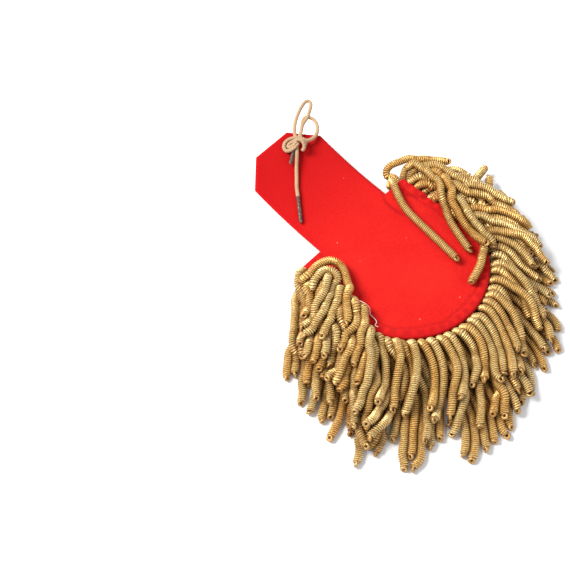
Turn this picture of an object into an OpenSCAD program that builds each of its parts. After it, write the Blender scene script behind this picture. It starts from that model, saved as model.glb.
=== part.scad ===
// A fringed shoulder epaulette, lying with its felt lining upwards.
// X is across the strap, +Y runs up the strap and +Z is up. The origin is on the
// flat underside of the padded crescent, at the middle of the pad's round end.

/* [Strap] */
// Width of the strap
strap_w = 60; // [56:1:64]
// Length of the strap, from the notch line to its flat end
strap_l = 74; // [70:1:80]
// Width that each clipped corner takes off the strap's end
clip_w = 16; // [12:1:20]
// Length that each clipped corner takes off the strap's end
clip_l = 15; // [12:1:18]
// Radius of the upward bend of the strap
bend_r = 228; // [180:4:400]

/* [Pad] */
// Width of the pad at its shoulders
shoulder_w = 94; // [88:1:98]
// Width of the pad at its widest place
pad_w = 102; // [100:1:108]
// Distance of the widest place from the notch line
widest_at = 58; // [50:1:62]
// Length of the pad, from the notch line to its round end
pad_l = 96; // [92:1:100]

/* [Felt and stiffener] */
// Thickness of the felt lining
lining_t = 1.2; // [1:0.1:2]
// Width of the turned hem of the lining
hem_w = 6; // [4:0.5:8]
// Height of the turned hem above the lining
hem_h = 0.5; // [0.3:0.1:1]
// Thickness of the braided facing with its stiffener
facing_t = 2; // [1.5:0.1:3]
// How far the facing shows past the lining
facing_show = 0.3; // [0.1:0.1:1]

/* [Crescent] */
// Radius of the padded roll
roll_r = 7; // [6:0.5:8]
// Height of the roll, flat above and below
roll_h = 9.5; // [8:0.5:10]
// Distance from the rim of the lining to the roll
roll_inset = 2.2; // [2:0.1:3]

/* [Fringe] */
// Radius of a bullion
bullion_r = 2.2; // [2:0.1:2.4]
// Bullions in the outer row
outer_count = 38; // [30:1:42]
// Bullions in the middle row
middle_count = 34; // [26:1:38]
// Bullions in the inner row
inner_count = 30; // [22:1:34]
// Thickness of the heading band
heading_t = 1.6; // [1.2:0.1:1.8]

/* [Lace] */
// Diameter of the round lace
lace_d = 2.5; // [2.2:0.1:3]
// Radius of the two lace holes in the strap
lace_hole_r = 1.6; // [1.5:0.1:1.8]
// Diameter of the metal tags
aglet_d = 2.4; // [2:0.1:2.8]
// Length of the tag on the long end
long_aglet_l = 19; // [15:1:22]
// Length of the tag on the short end
short_aglet_l = 12; // [7:1:14]

/* [Hidden] */
$fn = 96;
gap = 0.2;

// Heights of the layers
facing_z = roll_h + gap;
lining_z = facing_z + facing_t + gap;
bend_z = lining_z + bend_r;
bend_angle = 24;
bend_steps = 10;

// Outline of the pad, measured from the middle of the notch line
notch_y = pad_l - roll_inset - roll_r;
round_depth = pad_l - widest_at;
round_r = (pow(pad_w / 2, 2) + pow(round_depth, 2)) / (2 * round_depth);
round_y = round_r - pad_l;
flank_l = norm([pad_w / 2 - shoulder_w / 2, widest_at]);
round_start = asin((-widest_at - round_y) / round_r);
round_l = round_r * (180 + 2 * round_start) * PI / 180;
rim_l = 2 * flank_l + round_l;

// Fringe: how the bullions lie, by their place on the rim
// [place, heading at root, heading at tip, swing of the upper rows, outer, middle and inner length]
fringe_flow = [
    [0.00, -12, -50, -35, 60, 66, 74],
    [0.06, -25, -62, -28, 63, 66, 72],
    [0.12, -35, -74, -18, 66, 62, 66],
    [0.23, -48, -88, -6, 62, 54, 50],
    [0.33, -64, -96, 0, 56, 50, 42],
    [0.40, -80, -104, 0, 57, 52, 42],
    [0.46, -95, -115, 0, 65, 56, 44],
    [0.51, -108, -126, 0, 69, 60, 46],
    [0.59, -123, -132, 0, 77, 65, 50],
    [0.66, -139, -141, 0, 79, 66, 51],
    [0.75, -147, -150, 0, 81, 68, 53],
    [0.87, -151, -154, 0, 84, 70, 55],
    [0.95, -154, -146, 0, 82, 68, 54],
    [1.00, -158, -140, 0, 72, 62, 52]
];
// [bullions, column of the length, share of the swing, height at root, crest and tip]
fringe_rows = [
    [outer_count, 4, 0, 2.7, 2.6, 2.4],
    [middle_count, 5, 0.5, 5.3, 7.8, 7.2],
    [inner_count, 6, 1, 8, 13.4, 11.4]
];
// Share of a bullion's length at each ring of its tube
tube_stations = [0, 0.05, 0.22, 0.6, 1];
neck_r = 1.1;
heading_inset = 1.2;
heading_steps = 28;
roll_steps = 24;
heading_low = 0.8;
heading_high = 9.3;
knob_r = 2.6;
scatter = 0.7549;
heading_spread = 3;
length_spread = 10;

// Bullions that lie over the lining: points from the middle of the notch line
stray_bullions = [
    [[75.2, -13.3, 16.7], [68.5, -5.5, 17.5], [61, 3.5, 16], [54.5, 9, 15.5], [47, 12.5, 14],
     [42.5, 11, 11.5], [42, 6.5, 9.5], [45.7, -0.7, 7.4]],
    [[45.6, -1.2, 3.1], [43, 6.5, 3.5], [39.8, 6.3, 9.7], [38.2, 1, 15.7], [32.3, -8.5, 15.6],
     [27.8, -20.2, 15.9], [25.2, -42.5, 16.4], [22.4, -65.2, 16.9]],
    [[46.3, -2.7, 6.7], [51, 2.5, 9], [56, 4, 13.5], [59.5, -3, 17.5], [57, -14, 20],
     [54.5, -25, 19.9], [41.5, -43.5, 17], [33, -67, 16.7]],
    [[46.9, -10, 7.1], [54, -8, 10], [62.8, -14.2, 18.5], [60, -28.3, 20.5],
     [51.2, -40.5, 20.3], [44.5, -57, 17.6], [43.5, -74, 16.6]],
    [[48, -29.5, 7.5], [55.5, -28.8, 11.8], [54.5, -36.5, 19.5], [50.3, -48.3, 21],
     [46, -62.3, 20.5], [44.7, -76.3, 17.7]],
    [[48.7, -66, 7.3], [52, -70.5, 13.5], [42.5, -72.5, 17.5], [36.5, -75, 17],
     [28.5, -79.5, 17.3], [16.7, -82.7, 16.5]],
    [[-46, -4.5, 7.5], [-49.8, -4, 12.8], [-42, -6.2, 18.5], [-34.3, -13.2, 20.5],
     [-34, -20.5, 20.8], [-38.5, -27.2, 20], [-57.1, -41.7, 17.5]],
    [[-47, -13, 6.7], [-50.5, -12.5, 11.5], [-42.5, -14.5, 18], [-47, -18.5, 20],
     [-56.5, -22.5, 18.5], [-67.5, -24, 18], [-79.7, -25.7, 14.3]],
    [[-48, -20.4, 7.6], [-52.2, -21.1, 12.4], [-43.2, -20.9, 20.7], [-49.5, -25.5, 20.5],
     [-60, -28.5, 19.5], [-79.3, -33, 14.7]],
    [[-48.3, -28.7, 7.7], [-52.8, -29, 12], [-45.5, -27.5, 20], [-51.2, -32.7, 20.5],
     [-60, -38.5, 18.8], [-76, -45.2, 15]],
    [[-48.2, -37, 7.3], [-53.5, -34.5, 13.5], [-45, -35.5, 19.5], [-49, -44.5, 19.3],
     [-57.5, -52.5, 17.5], [-74, -56.7, 14.7]],
    [[-48.5, -44.9, 6.3], [-53.5, -43.2, 13.2], [-45.5, -46.5, 20.3], [-50, -52.8, 19.8],
     [-57.8, -60, 18.2], [-74.8, -69.6, 15.5]]
];

// Lace: points from the middle of the notch line
knot_at = [10.5, 64, 25.2];
lace_holes = [[6.5, 64], [14.5, 64]];
tall_loop = [
    [13.5, 64.5, 26], [17, 70, 26.5], [23, 75, 27], [31, 79.5, 26.5], [38.5, 82.5, 25.5], [42.5, 82.5, 25],
    [42.5, 79.5, 24.5], [37.5, 76, 24.3], [32, 73, 24.8], [25, 70.5, 25.5], [16.5, 64.5, 25.5]
];
round_loop = [
    [16.5, 62.5, 26.5], [18.5, 59.5, 25.5], [24, 59, 24], [30, 61.5, 23], [34, 66, 22.8], [35, 70.5, 23.2],
    [32.5, 74, 24.2], [28, 73, 25.2], [22, 68.5, 25.5], [16, 65, 25.6]
];
long_end = [[11, 62, 25.2], [6, 57, 24.2], [0.5, 52, 21.6], [-4.5, 47, 19.6], [-9.5, 42, 18.6], [-14, 36.5, 18]];
short_end = [[11, 62, 25.4], [9.5, 61.8, 25], [8, 61.5, 24.8]];
aglet_slope = 7;
long_aglet_turn = 230;
short_aglet_turn = 212;
knot_turn = [
    [0, -4.5, -1.2], [5, -3, 0.6], [6, 2, 1.4], [1, 4, 0.4], [-5, 4, -0.8], [-6.5, 0, 0.6], [-2, -2, 2.4], [4, 0.5, 2.6],
    [2.5, 5.5, 0.6], [-2.5, 2.5, 1.8]
];

function fract(x) = x - floor(x);
function spread(i, k) = fract((i + 1) * scatter * k) - 0.5;
function flow(place, c) = lookup(place, [for (r = fringe_flow) [r[0], r[c]]]);

// Point of the rim and the direction outwards there, for a place from 0 to 1
function rim(place, inset) =
    let (
        s = place * rim_l,
        side = s <= rim_l / 2 ? 1 : -1,
        t = side > 0 ? s : rim_l - s,
        slant = atan2(pad_w / 2 - shoulder_w / 2, widest_at),
        turn = round_start - (t - flank_l) / round_r * 180 / PI
    )
    t < flank_l
        ? [side * (shoulder_w / 2 + t * sin(slant) - inset), -t * cos(slant), side > 0 ? slant : 180 - slant]
        : [side * (round_r - inset) * cos(turn), round_y + (round_r - inset) * sin(turn), side > 0 ? turn : 180 - turn];

// A bullion's centre line turns evenly from its root heading to its tip heading
function bullion_path(row, i) =
    let (
        place = (i + 0.5) / row[0],
        c = row[1],
        root = rim(place, heading_inset),
        swing = row[2] * flow(place, 3),
        from = flow(place, 1) + 0.4 * swing + heading_spread * spread(i, c - 2),
        to = flow(place, 2) + swing + heading_spread * spread(i, c - 1),
        turn = to - from + 0.01,
        l = flow(place, c) + length_spread * spread(i, c + 2)
    )
    [
        for (s = tube_stations)
            [
                root[0] + l * 180 / PI / turn * (sin(from + turn * s) - sin(from)),
                root[1] + l * 180 / PI / turn * (cos(from) - cos(from + turn * s)),
                lookup(s, [[0.06, row[3]], [0.22, row[4]], [0.5, row[4]], [1, row[5]]])
            ]
    ];

function along(p, k) =
    let (
        a = p[max(k - 1, 0)],
        b = p[min(k + 1, len(p) - 1)]
    )
    (b - a) / norm(b - a);

// Faces of a sweep of so many rings, with n points on each
function sweep_faces(rings, n) = concat(
    [[for (j = [n - 1:-1:0]) j]],
    [
        for (k = [0:rings - 2], j = [0:n - 1])
            [k * n + j, k * n + (j + 1) % n, (k + 1) * n + (j + 1) % n, (k + 1) * n + j]
    ],
    [[for (j = [0:n - 1]) (rings - 1) * n + j]]
);

// A tube swept along the points p, with n sides and a radius for each ring
module tube(p, radii, n) {
    rings = len(p);
    points = [
        for (k = [0:rings - 1])
            let (
                t = along(p, k),
                side = cross(t, [0, 0, 1]) / norm(cross(t, [0, 0, 1])),
                over = cross(side, t)
            )
            for (j = [0:n - 1]) p[k] + radii[k] * (cos(360 * j / n) * side + sin(360 * j / n) * over)
    ];
    polyhedron(points, sweep_faces(rings, n), convexity = 6);
}

module from_notch() {
    translate([0, notch_y, 0])
        children();
}

module pad_top(margin) {
    shoulder_x = shoulder_w / 2 + margin;
    flank_x = sqrt(pow(round_r + margin, 2) - pow(-widest_at - round_y, 2));
    polygon([
        [-shoulder_x, margin], [shoulder_x, margin], [flank_x, -widest_at],
        [flank_x - 10, -widest_at - 4], [10 - flank_x, -widest_at - 4], [-flank_x, -widest_at]
    ]);
}

module pad_round(margin) {
    intersection() {
        translate([0, round_y])
            circle(r = round_r + margin);
        translate([-pad_w, -widest_at - pad_w])
            square([2 * pad_w, pad_w]);
    }
}

module strap_outline(margin) {
    x = strap_w / 2 + margin;
    end = strap_l + margin;
    polygon([
        [-x, -10], [x, -10], [x, end - clip_l], [x - clip_w, end], [clip_w - x, end], [-x, end - clip_l]
    ]);
}

// Side view of a layer: flat under the pad, then bent upwards along the strap
module bent_layer(z, t) {
    low_r = bend_z - z;
    high_r = low_r - t;
    angles = [for (k = [0:bend_steps]) k * bend_angle / bend_steps];
    rotate([90, 0, 90])
        linear_extrude(2 * pad_w, center = true)
            polygon(concat(
                [[-2 * pad_l, z]],
                [for (a = angles) [low_r * sin(a), bend_z - low_r * cos(a)]],
                [for (k = [bend_steps:-1:0]) [high_r * sin(angles[k]), bend_z - high_r * cos(angles[k])]],
                [[-2 * pad_l, z + t]]
            ));
}

module layer(z, t) {
    intersection() {
        linear_extrude(4 * roll_h)
            children();
        bent_layer(z, t);
    }
}

module sheet(margin, z, t) {
    layer(z, t)
        pad_top(margin);
    layer(z, t)
        pad_round(margin);
    layer(z, t)
        strap_outline(margin);
}

module hem() {
    translate([0, 0, lining_z + lining_t])
        linear_extrude(hem_h)
            difference() {
                union() {
                    pad_top(0);
                    pad_round(0);
                }
                pad_top(-hem_w);
                pad_round(-hem_w);
                translate([-strap_w / 2, -2 * hem_w])
                    square([strap_w, 4 * hem_w]);
            }
}

module lace_holes() {
    for (h = lace_holes)
        translate([h[0], h[1], 0])
            cylinder(h = 4 * roll_h, r = lace_hole_r);
}

module facing() {
    color([0.72, 0.55, 0.28])
        from_notch()
            difference() {
                sheet(facing_show, facing_z, facing_t);
                lace_holes();
            }
}

module lining() {
    color([0.86, 0.1, 0.09])
        from_notch()
            difference() {
                union() {
                    sheet(0, lining_z, lining_t);
                    hem();
                }
                lace_holes();
            }
}

// A solid swept along the rim. Each point of its section is a distance in from the rim and a height
module rim_sweep(section, steps) {
    n = len(section);
    points = [
        for (k = [0:steps], q = section)
            let (at = rim(k / steps, q[0]))
            [at[0], at[1], q[1]]
    ];
    polyhedron(points, sweep_faces(steps + 1, n), convexity = 6);
}

module crescent() {
    half_h = roll_h / 2;
    middle = roll_inset + roll_r;
    section = [
        for (side = [1, -1], a = [75, 25, -25, -75])
            [middle - side * (roll_r - half_h + half_h * cos(a)), half_h + side * half_h * sin(a) / sin(75)]
    ];
    color([0.75, 0.58, 0.3])
        from_notch()
            rim_sweep(section, roll_steps);
}

module heading() {
    low = heading_inset - heading_t / 2;
    high = heading_inset + heading_t / 2;
    rim_sweep([[low, heading_high], [low, heading_low], [high, heading_low], [high, heading_high]], heading_steps);
}

// The knob at a bullion's tip
module tip_knob(at) {
    translate(at)
        hull()
            sphere(r = knob_r, $fn = 6);
}

module bullion_fringe() {
    color([0.76, 0.58, 0.3])
        from_notch()
            union() {
                heading();
                for (row = fringe_rows, i = [0:row[0] - 1])
                    tube(bullion_path(row, i), [neck_r, neck_r, bullion_r, bullion_r, bullion_r], 5);
                for (p = stray_bullions) {
                    tube(p, [for (q = p) q[2] < 8 ? neck_r : bullion_r], 5);
                    tip_knob(p[0][2] > heading_high ? p[0] : p[len(p) - 1]);
                }
            }
}

module knot() {
    for (k = [0:len(knot_turn) - 2])
        hull() {
            translate(knot_at + knot_turn[k])
                sphere(d = lace_d, $fn = 6);
            translate(knot_at + knot_turn[k + 1])
                sphere(d = lace_d, $fn = 6);
        }
}

module lace_run(p) {
    tube(p, [for (q = p) lace_d / 2], 8);
}

// The lace's hidden stretch: down one hole, across under the facing and up the other
module lace_bridge() {
    low = facing_z + 4;
    for (h = lace_holes)
        translate([h[0], h[1], low])
            cylinder(h = knot_at[2] - low, d = lace_d, $fn = 8);
    hull()
        for (h = lace_holes)
            translate([h[0], h[1], low])
                sphere(d = lace_d, $fn = 8);
}

module lace() {
    color([0.8, 0.66, 0.48])
        from_notch()
            union() {
                knot();
                lace_bridge();
                lace_run(tall_loop);
                lace_run(round_loop);
                lace_run(long_end);
                lace_run(short_end);
            }
}

// A rolled metal tag, pointing down the lace from the point at
module aglet(at, turn, l) {
    translate(at)
        rotate([0, 90 + aglet_slope, turn])
            translate([0, 0, gap])
                union() {
                    cylinder(h = l - aglet_d, d = aglet_d);
                    translate([0, 0, l - aglet_d])
                        cylinder(h = aglet_d, d1 = aglet_d, d2 = aglet_d / 2);
                }
}

module long_aglet() {
    color([0.3, 0.2, 0.16])
        from_notch()
            aglet(long_end[len(long_end) - 1], long_aglet_turn, long_aglet_l);
}

module short_aglet() {
    color([0.3, 0.2, 0.16])
        from_notch()
            aglet(short_end[len(short_end) - 1], short_aglet_turn, short_aglet_l);
}

facing();
lining();
crescent();
bullion_fringe();
lace();
long_aglet();
short_aglet();
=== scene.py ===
import math
import random

import bmesh
import bpy
import numpy as np
from mathutils import Matrix, Vector
from mathutils.geometry import delaunay_2d_cdt
from mathutils.kdtree import KDTree


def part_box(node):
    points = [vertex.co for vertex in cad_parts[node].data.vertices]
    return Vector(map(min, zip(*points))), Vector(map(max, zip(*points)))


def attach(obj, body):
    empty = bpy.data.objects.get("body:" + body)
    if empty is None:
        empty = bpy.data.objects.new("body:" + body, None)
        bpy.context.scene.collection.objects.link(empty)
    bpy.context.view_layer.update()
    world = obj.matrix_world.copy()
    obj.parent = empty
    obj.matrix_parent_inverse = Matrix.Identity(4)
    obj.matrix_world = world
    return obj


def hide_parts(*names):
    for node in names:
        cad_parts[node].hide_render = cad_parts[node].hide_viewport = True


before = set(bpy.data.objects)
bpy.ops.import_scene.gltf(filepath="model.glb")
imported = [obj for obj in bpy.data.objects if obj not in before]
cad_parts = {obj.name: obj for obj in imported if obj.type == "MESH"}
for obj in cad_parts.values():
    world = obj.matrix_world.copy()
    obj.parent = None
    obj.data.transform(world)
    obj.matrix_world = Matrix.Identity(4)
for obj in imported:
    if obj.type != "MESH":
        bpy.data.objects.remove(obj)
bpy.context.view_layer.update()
MM = 0.001

# The view. The epaulette lies on a white table, seen from the left of its round end and
# well above, in the soft light of a studio tent with its key light at the left.
view_aim = Vector((-0.059, 0.0908, 0.0))
view_azimuth = math.radians(-45.5)
view_elevation = math.radians(60.3)
view_distance = 0.7
lens_mm = 70
sensor_mm = 36
table_size = 6.0
table_colour = (0.9, 0.9, 0.895, 1)
table_shade = 0.985
tent_colour = (0.93, 0.95, 1.0, 1)
tent_strength = 0.62
key_size = 0.5
key_watts = 20
key_colour = (1, 0.985, 0.96)
key_steps = (-0.64, 0.5, 0.68)
fill_size = 1.1
fill_watts = 4
fill_steps = (0.9, -0.2, 0.9)


class Field:
    """A node's socket that takes part in expressions, each operator adding its Math node."""

    def __init__(self, net, socket):
        self.net = net
        self.socket = socket

    def maths(self, operation, *others):
        return self.net.node("ShaderNodeMath", {"operation": operation}, dict(enumerate((self, *others))))

    def of(self, name):
        return Field(self.net, self.socket.node.outputs[name])

    def __add__(self, other):
        return self.maths("ADD", other)

    def __radd__(self, other):
        return self.maths("ADD", other)

    def __sub__(self, other):
        return self.maths("SUBTRACT", other)

    def __rsub__(self, other):
        return self.net.node("ShaderNodeMath", {"operation": "SUBTRACT"}, {0: other, 1: self})

    def __mul__(self, other):
        return self.maths("MULTIPLY", other)

    def __truediv__(self, other):
        return self.maths("DIVIDE", other)

    def __mod__(self, other):
        return self.maths("FLOORED_MODULO", other)

    def __pow__(self, other):
        return self.maths("POWER", other)

    def sine(self):
        return self.maths("SINE")

    def size(self):
        return self.maths("ABSOLUTE")

    def over(self, other):
        return self.maths("GREATER_THAN", other)


class Net:
    """A node tree to which any node is added by its type, its settings and its sockets."""

    def __init__(self, tree):
        self.tree = tree
        tree.nodes.clear()

    def node(self, kind, settings=None, sockets=None, out=0):
        made = self.tree.nodes.new(kind)
        for name, value in (settings or {}).items():
            setattr(made, name, value)
        for name, value in (sockets or {}).items():
            if isinstance(value, Field):
                self.tree.links.new(value.socket, made.inputs[name])
            else:
                made.inputs[name].default_value = value
        return Field(self, made.outputs[out]) if made.outputs else made

    def mix(self, factor, a, b):
        return self.node("ShaderNodeMix", {"data_type": "RGBA"}, {0: factor, 6: a, 7: b}, out=2)

    def noise(self, place, scale, detail=2.0, roughness=0.5):
        sockets = {"Vector": place, "Scale": scale, "Detail": detail, "Roughness": roughness}
        return self.node("ShaderNodeTexNoise", {}, sockets)

    def clipped(self, value, low, high, to_low=0.0, to_high=1.0):
        sockets = {0: value, 1: low, 2: high, 3: to_low, 4: to_high}
        return self.node("ShaderNodeMapRange", {"interpolation_type": "SMOOTHSTEP"}, sockets)

    def bump(self, height, strength, depth):
        return self.node("ShaderNodeBump", {}, {"Strength": strength, "Distance": depth, "Height": height})

    def place(self):
        return self.node("ShaderNodeTexCoord", out="Object")

    def attribute(self, name):
        return self.node("ShaderNodeAttribute", {"attribute_name": name}, out="Fac")


def finish_of(name, build):
    """A material whose Principled sockets are those that build returns for its net."""
    material = bpy.data.materials.new(name)
    material.use_nodes = True
    net = Net(material.node_tree)
    shader = net.node("ShaderNodeBsdfPrincipled", {}, build(net))
    net.node("ShaderNodeOutputMaterial", {}, {"Surface": shader})
    return material


def table_finish(net):
    grain = net.noise(net.place(), scale=3.0)
    shaded = tuple(c * table_shade for c in table_colour[:3]) + (1,)
    return {"Base Color": net.mix(grain, table_colour, shaded), "Roughness": 0.85}


def lamp(name, size, watts, steps, colour=(1, 1, 1)):
    """A soft square lamp some steps right, up and back from what the camera looks at, turned towards it."""
    place = view_aim + steps[0] * right + steps[1] * up + steps[2] * back
    data = bpy.data.lights.new(name, "AREA")
    data.size = size
    data.energy = watts
    data.color = colour
    made = bpy.data.objects.new(name, data)
    made.location = place
    made.rotation_euler = (place - view_aim).to_track_quat("Z", "Y").to_euler()
    bpy.context.scene.collection.objects.link(made)


def piece(name, mesh, *materials):
    """A new object at the origin for a mesh, riding on the one body."""
    made = bpy.data.objects.new(name, mesh)
    bpy.context.scene.collection.objects.link(made)
    for material in materials:
        mesh.materials.append(material)
    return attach(made, "root")


half = table_size / 2
table_corners = [(-half, -half, 0), (half, -half, 0), (half, half, 0), (-half, half, 0)]
table_mesh = bpy.data.meshes.new("table")
table_mesh.from_pydata(table_corners, [], [(0, 1, 2, 3)])
table_mesh.materials.append(finish_of("table_white", table_finish))
table = bpy.data.objects.new("table", table_mesh)
bpy.context.scene.collection.objects.link(table)

level = math.cos(view_elevation)
back = Vector((math.sin(view_azimuth) * level, -math.cos(view_azimuth) * level, math.sin(view_elevation)))
right = Vector((math.cos(view_azimuth), math.sin(view_azimuth), 0))
up = back.cross(right)
lens = bpy.data.cameras.new("view")
lens.lens = lens_mm
lens.sensor_width = sensor_mm
camera = bpy.data.objects.new("view", lens)
view_turn = Matrix((right, up, back)).transposed().to_4x4()
camera.matrix_world = Matrix.Translation(view_aim + view_distance * back) @ view_turn
bpy.context.scene.collection.objects.link(camera)
bpy.context.scene.camera = camera

tent = bpy.data.worlds.new("tent")
tent.use_nodes = True
tent_net = Net(tent.node_tree)
glow = tent_net.node("ShaderNodeBackground", {}, {"Color": tent_colour, "Strength": tent_strength})
tent_net.node("ShaderNodeOutputWorld", {}, {"Surface": glow})
bpy.context.scene.world = tent
bpy.context.scene.view_settings.view_transform = "Standard"
lamp("key", key_size, key_watts, key_steps, key_colour)
lamp("fill", fill_size, fill_watts, fill_steps)

# The lace. A round braided cotton lace comes up through two holes at the strap's end
# and is tied in a slack bow: two loops, a long end and a short end, each with a tag.
lace_d = 2.5 * MM
braid_relief = 0.04 * MM
braid_pitch = 3.2 * MM
braid_strands = 4
braid_sides = 24
lace_step = 0.3 * MM
# Painted shade in the braid's hollows
lace_hollow_shade = (0.32, 0.19, 0.095, 1)
lace_crown = (0.48, 0.32, 0.18, 1)
lace_soiled = (0.29, 0.165, 0.08, 1)
notch_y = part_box("crescent")[1].y
# Points in millimetres from the middle of the notch line, where the strap meets the pad
tall_loop = [
    (13.5, 64.5, 26), (17, 70, 26.5), (23, 75, 27), (31, 79.5, 26.5), (38.5, 82.5, 25.5), (42.5, 82.5, 25),
    (42.5, 79.5, 24.5), (37.5, 76, 24.3), (32, 73, 24.8), (25, 70.5, 25.5), (16.5, 64.5, 25.5),
]
round_loop = [
    (16.5, 62.5, 26.5), (18.5, 59.5, 25.5), (24, 59, 24), (30, 61.5, 23), (34, 66, 22.8), (35, 70.5, 23.2),
    (32.5, 74, 24.2), (28, 73, 25.2), (22, 68.5, 25.5), (16, 65, 25.6),
]
long_end = [
    (11, 62, 25.2), (6, 57, 24.2), (0.5, 52, 21.6), (-4.5, 47, 19.6), (-9.5, 42, 18.6), (-14, 36.5, 18),
]
short_end = [(11, 62, 25.4), (9.5, 61.8, 25), (8, 61.5, 24.8)]
short_root = (14, 64.5, 26)
outer_wrap = [
    (15, 58.5, 24.5), (16.7, 59.8, 26), (15.8, 62.8, 27.4), (13, 65.5, 27.8), (10, 67.8, 27),
    (6.5, 68.3, 26), (3.7, 66.5, 25.2), (3.2, 63.7, 25), (5, 61.7, 26), (8, 60.8, 27.3), (11, 61, 28.2),
]
inner_wrap = [
    (16, 61, 25), (14, 61.6, 27.3), (11.5, 63.2, 28), (8.8, 65, 27.3), (6.3, 65.2, 26.3), (6, 63.6, 26.2),
    (8.2, 62.2, 28), (11, 62.3, 29),
]
last_wrap = [
    (9.5, 64.5, 27.5), (12, 63, 29), (13.7, 60.7, 29.2), (13.6, 58.2, 28), (12.5, 56.8, 26.2),
    (10.7, 56.6, 24.6),
]
hole_run = [
    (12, 63, 25.5), (14.2, 64.4, 24.6), (14.5, 64, 20), (14.5, 64, 14.4), (12.6, 64, 13.6), (8.4, 64, 13.6),
    (6.5, 64, 14.4), (6.5, 64, 20), (6.8, 64.4, 24.6), (9, 64, 25.5),
]


def from_notch(point):
    """A point given in millimetres from the middle of the notch line, in the frame."""
    return Vector((point[0] * MM, notch_y + point[1] * MM, point[2] * MM))


def smoothed(points, step):
    """Points about step apart on the smooth curve that runs through the given ones."""
    knots = [points[0], *points, points[-1]]
    line = []
    for a, b, c, d in zip(knots, knots[1:], knots[2:], knots[3:]):
        count = max(1, round((c - b).length / step))
        for k in range(count):
            t = k / count
            doubled = 2 * b + (c - a) * t
            doubled += (2 * a - 5 * b + 4 * c - d) * t ** 2
            doubled += (3 * b - a - 3 * c + d) * t ** 3
            line.append(0.5 * doubled)
    return line + [points[-1]]


def length_of(line):
    return sum((b - a).length for a, b in zip(line, line[1:]))


def tell(mesh, key, numbers):
    """Stores a number under a name at each point of a mesh."""
    mesh.attributes.new(key, "FLOAT", "POINT").data.foreach_set("value", numbers)


def chains(name, lines, **values):
    """A mesh of bare edges, one run for each line, with a number at each point for each named value."""
    points = [p for line in lines for p in line]
    edges = []
    first = 0
    for line in lines:
        edges += [(first + k, first + k + 1) for k in range(len(line) - 1)]
        first += len(line)
    mesh = bpy.data.meshes.new(name)
    mesh.from_pydata(points, edges, [])
    for key, numbers in values.items():
        tell(mesh, key, [n for row in numbers for n in row])
    return mesh


def growth(name, *inputs):
    """A Geometry Nodes tree with a source, numbers as inputs and a material, and its sockets by name."""
    tree = bpy.data.node_groups.new(name, "GeometryNodeTree")
    net = Net(tree)
    kinds = {"Source": "Geometry", **{key: "Float" for key in inputs}, "Material": "Material"}
    for key, kind in kinds.items():
        tree.interface.new_socket(key, in_out="INPUT", socket_type=f"NodeSocket{kind}")
    tree.interface.new_socket("Result", in_out="OUTPUT", socket_type="NodeSocketGeometry")
    source = net.node("NodeGroupInput")
    return net, {key: source.of(key) for key in kinds}


def stored(net, geometry, name, value, domain="POINT"):
    sockets = {"Geometry": geometry, "Name": name, "Value": value}
    return net.node("GeometryNodeStoreNamedAttribute", {"data_type": "FLOAT", "domain": domain}, sockets)


def recalled(net, name):
    return net.node("GeometryNodeInputNamedAttribute", {"data_type": "FLOAT"}, {"Name": name})


def respaced(net, curve, length):
    """The curve with its points a length apart."""
    return net.node("GeometryNodeResampleCurve", {"mode": "LENGTH"}, {"Curve": curve, "Length": length})


def scaled(net, vector, by):
    return net.node("ShaderNodeVectorMath", {"operation": "SCALE"}, {0: vector, "Scale": by})


def swept(net, curve, ring, scale):
    """The closed tube that a ring makes along a curve."""
    sockets = {"Curve": curve, "Profile Curve": ring, "Scale": scale, "Fill Caps": True}
    return net.node("GeometryNodeCurveToMesh", {}, sockets)


def circle(net, sides, radius):
    return net.node("GeometryNodeCurvePrimitiveCircle", {}, {"Resolution": sides, "Radius": radius})


def grown(net, result, given, ridged=False):
    """Ends a tree with smooth faces, real instances and its material.

    ridged keeps the edges round each ring of wire sharp.
    """
    result = net.node("GeometryNodeSetShadeSmooth", {}, {"Geometry": result})
    result = net.node("GeometryNodeRealizeInstances", {}, {"Geometry": result})
    if ridged:
        across = (recalled(net, "groove") - 0.5).size()
        sockets = {"Geometry": result, "Selection": across.over(0.3), "Shade Smooth": False}
        result = net.node("GeometryNodeSetShadeSmooth", {"domain": "EDGE"}, sockets)
    result = net.node("GeometryNodeSetMaterial", {}, {"Geometry": result, "Material": given["Material"]})
    net.node("NodeGroupOutput", {}, {"Result": result})
    return net.tree


def grow(name, source, tree, **values):
    """The plain mesh piece that a tree makes from a source mesh."""
    seed = bpy.data.objects.new(name + "_source", source)
    bpy.context.scene.collection.objects.link(seed)
    modifier = seed.modifiers.new("growth", "NODES")
    modifier.node_group = tree
    for item in tree.interface.items_tree:
        if item.in_out == "INPUT" and item.name in values:
            modifier[item.identifier] = values[item.name]
    graph = bpy.context.evaluated_depsgraph_get()
    evaluated = seed.evaluated_get(graph)
    mesh = bpy.data.meshes.new_from_object(evaluated, preserve_all_data_layers=True, depsgraph=graph)
    seed.modifiers.remove(modifier)
    bpy.data.objects.remove(seed)
    mesh.name = name
    return piece(name, mesh)


def crossing_strands(run, turn):
    """Height of the braid from -1 to 1, for the run in pitches and the turn in strands."""
    return ((turn + run) * math.tau).sine() * ((turn - run) * math.tau).sine()


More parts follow.
